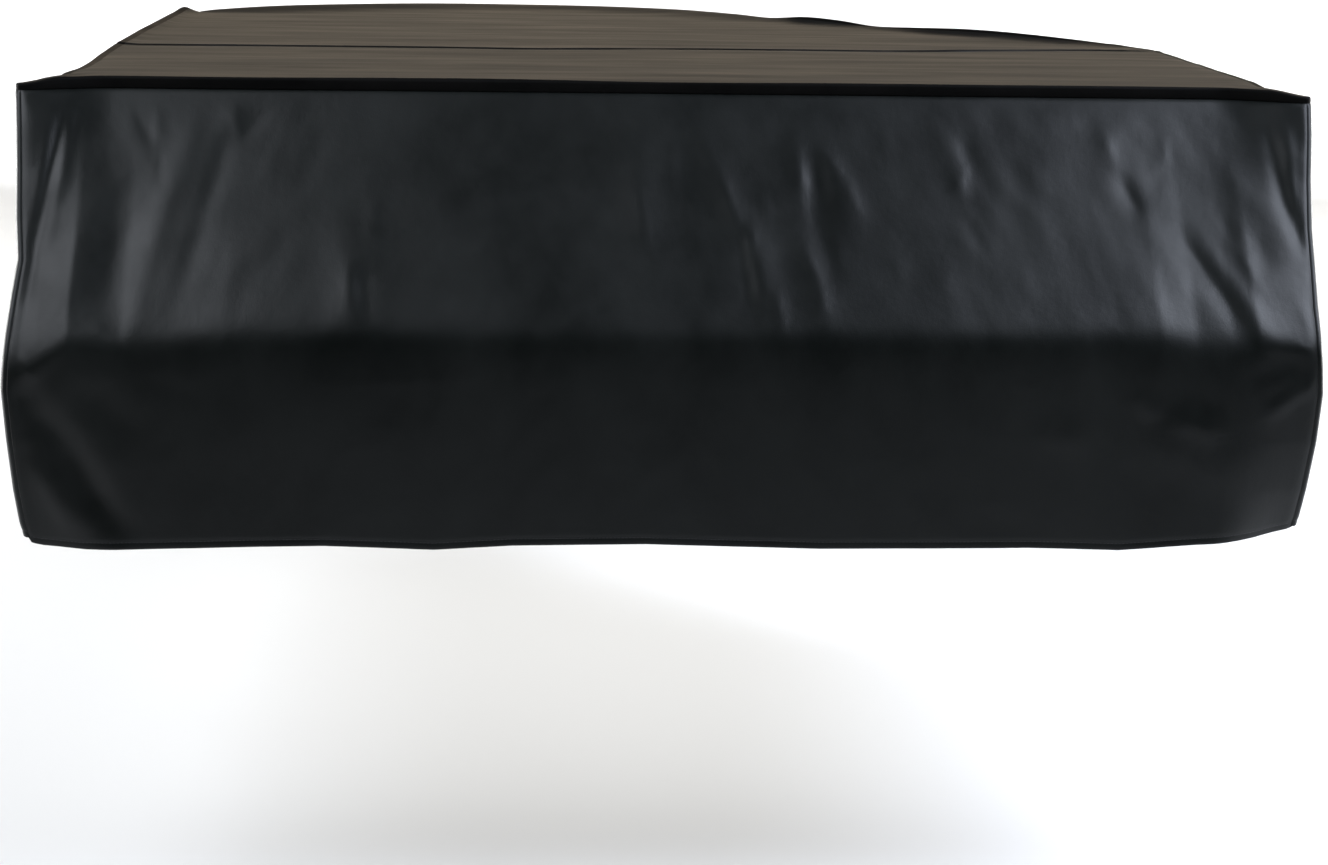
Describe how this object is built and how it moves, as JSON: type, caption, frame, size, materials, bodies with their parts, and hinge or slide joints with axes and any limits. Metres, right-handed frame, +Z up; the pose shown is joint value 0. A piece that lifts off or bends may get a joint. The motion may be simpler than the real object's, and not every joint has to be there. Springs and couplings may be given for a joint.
{
  "type": "grand piano cover",
  "caption": "Fitted dust cover for a baby grand piano: flat top with a seam across it, slanted front over the keyboard, and skirts that follow the curved side.",
  "frame": {"origin": "lower face of the cover's flat top, over the middle of the piano lid that holds the cover up", "axes": "+Z up, -Y to the front where the player sits, +X to the treble side"},
  "size_m": [1.597, 1.6483, 0.5425],
  "materials": {
    "coat_top_front": "satin",
    "coat_top_main": "satin",
    "coat_front": "satin",
    "coat_bass": "satin",
    "coat_bentside": "satin"
  },
  "bodies": {
    "root": {"top_front": "coat_top_front", "top_main": "coat_top_main", "skirt_front": "coat_front", "skirt_bass": "coat_bass", "skirt_bentside": "coat_bentside"}
  },
  "joints": []
}
